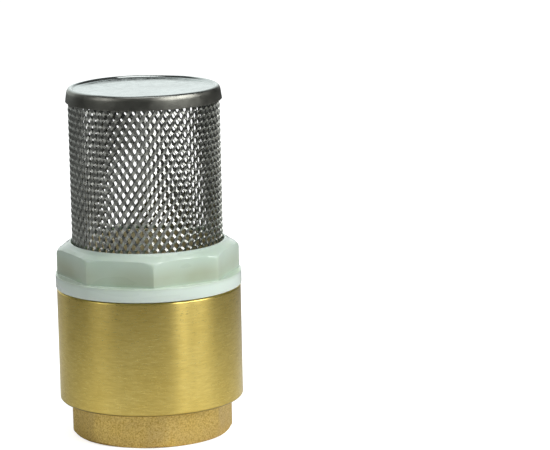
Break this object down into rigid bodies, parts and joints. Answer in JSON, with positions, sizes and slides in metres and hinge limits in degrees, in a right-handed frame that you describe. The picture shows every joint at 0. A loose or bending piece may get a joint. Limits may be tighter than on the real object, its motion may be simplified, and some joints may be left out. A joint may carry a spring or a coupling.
{
  "type": "foot valve",
  "caption": "Spring foot valve for a suction pipe: brass body with a threaded outlet, nylon seat nut and a stainless mesh strainer.",
  "frame": {"origin": "centre of the outlet neck's end face, which the valve stands on", "axes": "+Z along the valve's axis from the outlet to the strainer lid; -Y towards the side first seen, with X to its right"},
  "size_m": [0.0474, 0.0474, 0.0895],
  "materials": {
    "brass": "barrel turned with fine circular lines, neck left as cast and dull",
    "nut_nylon": "natural nylon, moulded, slightly translucent and faintly green",
    "mesh_steel": "expanded stainless sheet with sheared strands",
    "lid_steel": "bright pressed stainless sheet",
    "spring_steel": "drawn stainless wire",
    "poppet_nylon": "moulded nylon",
    "guide_nylon": "moulded nylon",
    "seal_rubber": "matt black nitrile rubber",
    "ring_rubber": "matt black nitrile rubber"
  },
  "bodies": {
    "housing": {"valve_body": "brass", "stem_guide": "guide_nylon", "return_spring": "spring_steel"},
    "poppet": {"poppet_base": "poppet_nylon", "poppet_seal": "seal_rubber", "poppet_head": "poppet_nylon"},
    "nut_seal": {"nut_o_ring": "ring_rubber"},
    "strainer": {"strainer_nut": "nut_nylon", "strainer_mesh": "mesh_steel", "strainer_lid": "lid_steel"}
  },
  "joints": [
    {"name": "poppet_lift", "type": "slide", "parent": "housing", "child": "poppet", "axis": [0, 0, -1], "range_m": [0, 0.0065], "stiffness_N_per_m": 260, "springref_m": -0.0054, "deforming": ["return_spring"]},
    {"name": "strainer_rise", "type": "slide", "parent": "housing", "child": "nut_seal", "axis": [0, 0, 1], "range_m": [0, 0.0076]},
    {"name": "strainer_turn", "type": "hinge", "parent": "nut_seal", "child": "strainer", "pos_m": [0, 0, 0.038], "axis": [0, 0, 1], "range_deg": [0, 1170]}
  ],
  "couplings": [
    {"joint": "strainer_rise", "follows": "strainer_turn", "m_per_rad": 0.0003675}
  ]
}
